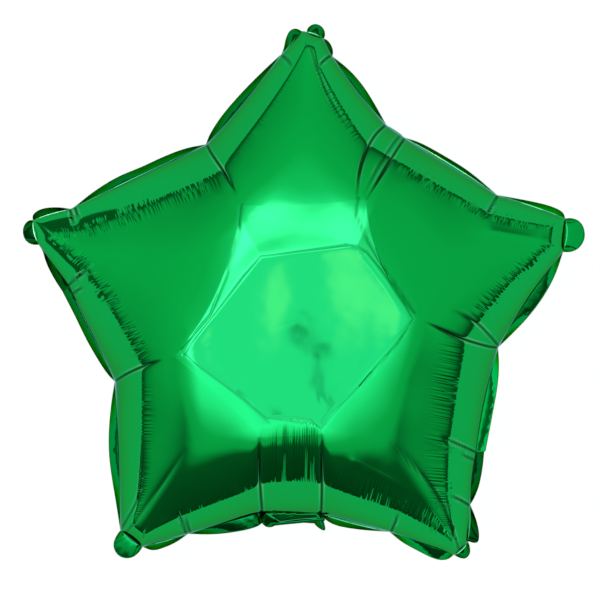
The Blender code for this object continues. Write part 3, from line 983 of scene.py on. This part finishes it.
def makeFloor():
    half = stage["floorSize"] / 2
    low = -stage["floorDrop"]
    corners = [(-half, -half, low), (half, -half, low), (half, half, low), (-half, half, low)]
    floor = makeMesh("floor", corners, [[0, 1, 2, 3]])
    material = bpy.data.materials.new("pale paper sweep")
    material.use_nodes = True
    tree = material.node_tree
    tree.nodes.clear()
    diffuse = addNode(tree, "ShaderNodeBsdfDiffuse", {"Color": linear(stage["floor"])})
    glow = addNode(tree, "ShaderNodeEmission", {"Strength": stage["glow"]})
    path = addNode(tree, "ShaderNodeLightPath")
    seen = nodeSum(tree, "ADD", path.outputs["Is Camera Ray"], path.outputs["Is Glossy Ray"])
    seen = nodeSum(tree, "MINIMUM", nodeSum(tree, "ADD", seen, path.outputs["Is Transmission Ray"]), 1.0)
    part = nodeSum(tree, "MULTIPLY", seen, stage["glowShare"])
    mix = addNode(tree, "ShaderNodeMixShader", None, {0: part, 1: diffuse.outputs[0], 2: glow.outputs[0]})
    addNode(tree, "ShaderNodeOutputMaterial", None, {"Surface": mix.outputs[0]})
    floor.data.materials.append(material)


def addRamp(tree, stops, factor):
    # the ramp holds the values as shares of the brightest, which the world's strength undoes
    top = stage["brightest"]
    ramp = addNode(tree, "ShaderNodeValToRGB", None, {0: factor})
    elements = ramp.color_ramp.elements
    elements.remove(elements[-1])
    for k, (degrees, level, red, blue) in enumerate(stops):
        item = elements[0] if k == 0 else elements.new(degrees / 180)
        item.position = degrees / 180
        item.color = (level * red / top, level / top, level * blue / top, 1)
    return ramp.outputs[0]


def vectorSum(tree, operation, source, second=(0, 0, 0)):
    return addNode(tree, "ShaderNodeVectorMath", {"operation": operation, 1: second}, {0: source})


def addPatch(tree, way, sky, patch, colour):
    # a soft oval of another colour in the sky
    x, y, wide, high, strength = patch
    offset = vectorSum(tree, "SUBTRACT", way, (x, y, 0))
    scaled = vectorSum(tree, "MULTIPLY", offset.outputs[0], (1 / wide, 1 / high, 0))
    distance = vectorSum(tree, "LENGTH", scaled.outputs[0]).outputs["Value"]
    soft = addNode(tree, "ShaderNodeMapRange",
                   {"interpolation_type": "SMOOTHSTEP", "From Min": 1.1, "From Max": 0.3,
                    "To Min": 0.0, "To Max": strength}, {"Value": distance})
    return mixColours(tree, soft.outputs[0], sky, colour)


def makeWorld():
    world = bpy.data.worlds.new("studio")
    bpy.context.scene.world = world
    world.use_nodes = True
    tree = world.node_tree
    tree.nodes.clear()
    way = addNode(tree, "ShaderNodeTexCoord").outputs["Generated"]
    split = addNode(tree, "ShaderNodeSeparateXYZ", None, {0: way})
    fromUp = nodeSum(tree, "DIVIDE", nodeSum(tree, "ARCCOSINE", split.outputs[2]), math.pi)
    room, lamp, dark = [addRamp(tree, stage[name], fromUp) for name in ("room", "lamp", "dark")]
    flat = vectorSum(tree, "MULTIPLY", way, (1, 1, 0))
    level = vectorSum(tree, "NORMALIZE", flat.outputs[0])
    facing = vectorSum(tree, "DOT_PRODUCT", level.outputs[0], stage["lampTowards"]).outputs["Value"]
    towardsLamp = addNode(tree, "ShaderNodeMapRange", {"From Min": -1.0, "From Max": 1.0},
                          {"Value": facing})
    aside = nodeSum(tree, "ABSOLUTE", nodeSum(tree, "ARCTAN2", split.outputs[0], split.outputs[1]))
    begins, full = [math.radians(degrees) for degrees in stage["darkFrom"]]
    below = addNode(tree, "ShaderNodeMapRange",
                    {"interpolation_type": "SMOOTHSTEP", "From Min": begins, "From Max": full},
                    {"Value": aside})
    sky = mixColours(tree, towardsLamp.outputs[0], room, lamp)
    sky = mixColours(tree, below.outputs[0], sky, dark)
    for shape in stage["shapes"]:
        sky = addPatch(tree, way, sky, shape, stage["shapeColour"])
    for pane in stage["panes"]:
        sky = addPatch(tree, way, sky, pane, stage["paneColour"])
    strength = stage["light"] * stage["brightest"]
    back = addNode(tree, "ShaderNodeBackground", {"Strength": strength}, {"Color": sky})
    addNode(tree, "ShaderNodeOutputWorld", None, {"Surface": back.outputs[0]})


# The long lens stands for a camera far above; its frame is the photograph's
view = {"lens": 180, "sensor": 36, "farthest": 10}


def makeCamera():
    data = bpy.data.cameras.new("camera")
    camera = bpy.data.objects.new("camera", data)
    bpy.context.scene.collection.objects.link(camera)
    bpy.context.scene.camera = camera
    data.lens = view["lens"]
    data.sensor_width = view["sensor"]
    data.clip_end = view["farthest"]
    # the photograph's pixel size holds at the seam's plane
    distance = photo["width"] * photo["pixelSize"] * data.lens / data.sensor_width
    x, y = place(photo["width"] / 2, photo["width"] / 2)
    camera.location = (x, y, seamHeight + distance)


makeFloor()
makeWorld()
makeCamera()
bpy.context.scene.view_settings.view_transform = "Standard"
